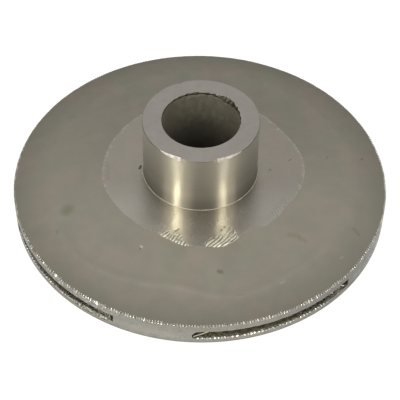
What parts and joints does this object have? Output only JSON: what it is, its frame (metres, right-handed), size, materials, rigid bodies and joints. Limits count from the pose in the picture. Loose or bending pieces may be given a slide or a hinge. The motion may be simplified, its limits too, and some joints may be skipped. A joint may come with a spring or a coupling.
{
  "type": "pump impeller",
  "caption": "Closed centrifugal pump impeller in cast stainless steel, with swept-back vanes between two shrouds, a long bored hub behind and a suction neck in front.",
  "frame": {"origin": "centre of the suction neck's end face, on the shaft axis, where the impeller stands", "axes": "+Z along the shaft axis from the suction eye to the hub; seen from the hub side (looking along -Z) the impeller runs clockwise; -Y faces the middle of the pictured rim"},
  "size_m": [0.1524, 0.1524, 0.0573],
  "materials": {
    "polished_steel": "turned and polished stainless steel",
    "cast_steel": "as-cast stainless steel, blasted to a smooth warm grey",
    "rough_cast_steel": "rough as-cast stainless steel",
    "turned_steel": "turned satin stainless steel"
  },
  "bodies": {
    "root": {"hub": "polished_steel", "back_shroud": "cast_steel", "hub_nose": "cast_steel", "vane_1": "rough_cast_steel", "vane_2": "rough_cast_steel", "vane_3": "rough_cast_steel", "vane_4": "rough_cast_steel", "vane_5": "rough_cast_steel", "front_shroud": "cast_steel", "suction_neck": "turned_steel"}
  },
  "joints": []
}
